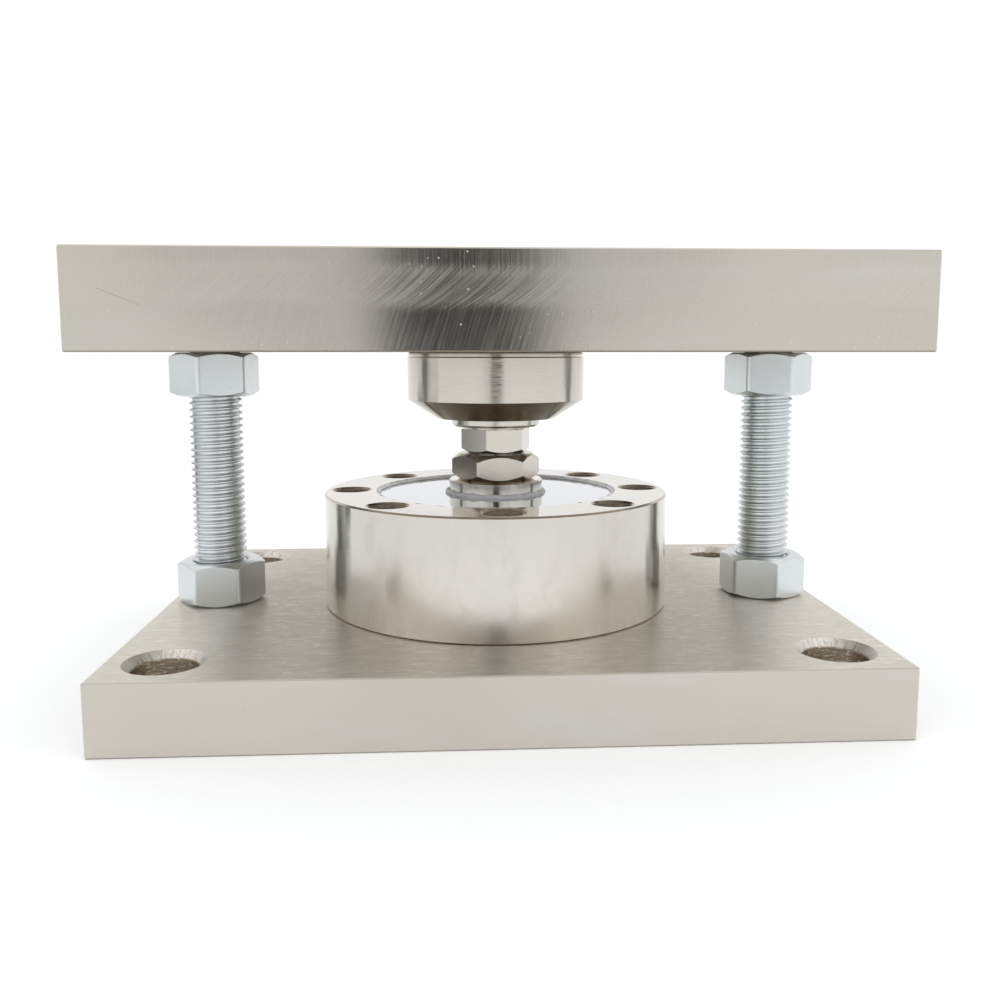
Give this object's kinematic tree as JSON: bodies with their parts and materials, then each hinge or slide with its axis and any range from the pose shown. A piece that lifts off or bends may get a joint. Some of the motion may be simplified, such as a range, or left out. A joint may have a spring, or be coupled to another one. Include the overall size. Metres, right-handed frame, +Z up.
{
  "type": "spoke load cell weigh module",
  "caption": "Two thick steel plates with a round spoke load cell between them, a self-aligning cup foot on the cell and threaded support studs with nuts beside it.",
  "frame": {"origin": "centre of the base plate's underside, where the module stands on its foundation", "axes": "+X along the plates' long side towards the right stud, +Y to the back, where the cable leaves, +Z up along the load's line"},
  "size_m": [0.2, 0.15, 0.1183],
  "materials": {
    "nickel_plate": "ground and nickel plated steel, satin",
    "zinc_thread": "zinc plated thread, matte",
    "zinc_nut": "zinc plated, matte",
    "polished_nickel": "turned, polished and nickel plated",
    "mirror_membrane": "mirror bright stainless sheet",
    "stainless_cover": "plain stainless sheet",
    "silicone_seal": "grey silicone sealant, semi-gloss",
    "dark_screw": "black oxide, lightly oiled",
    "gauge_foil": "polyimide foil with a metal grid",
    "board_laminate": "glass fibre laminate",
    "gland_nickel": "nickel plated brass",
    "gland_rubber": "black rubber",
    "satin_nickel": "satin nickel plated steel",
    "turned_nickel": "finely turned, nickel plated steel",
    "hardened_seat": "hardened and ground steel"
  },
  "bodies": {
    "root": {"base_plate": "nickel_plate", "top_plate": "nickel_plate", "support_stud_left": "zinc_thread", "support_stud_right": "zinc_thread", "lock_nut_left": "zinc_nut", "lock_nut_right": "zinc_nut", "jack_nut_left": "zinc_nut", "jack_nut_right": "zinc_nut", "cell_body": "polished_nickel", "top_membrane": "mirror_membrane", "bottom_cover": "stainless_cover", "boss_seal": "silicone_seal", "rim_seal": "silicone_seal", "cell_screws": "dark_screw", "strain_gauges": "gauge_foil", "terminal_board": "board_laminate", "gland_body": "gland_nickel", "gland_seal": "gland_rubber", "gland_nut": "gland_nickel", "jam_nut": "satin_nickel", "foot_stud": "satin_nickel", "cup_housing": "turned_nickel", "seat_insert": "hardened_seat", "thrust_lid": "turned_nickel", "levelling_shim": "turned_nickel", "cup_screw": "dark_screw"}
  },
  "joints": []
}
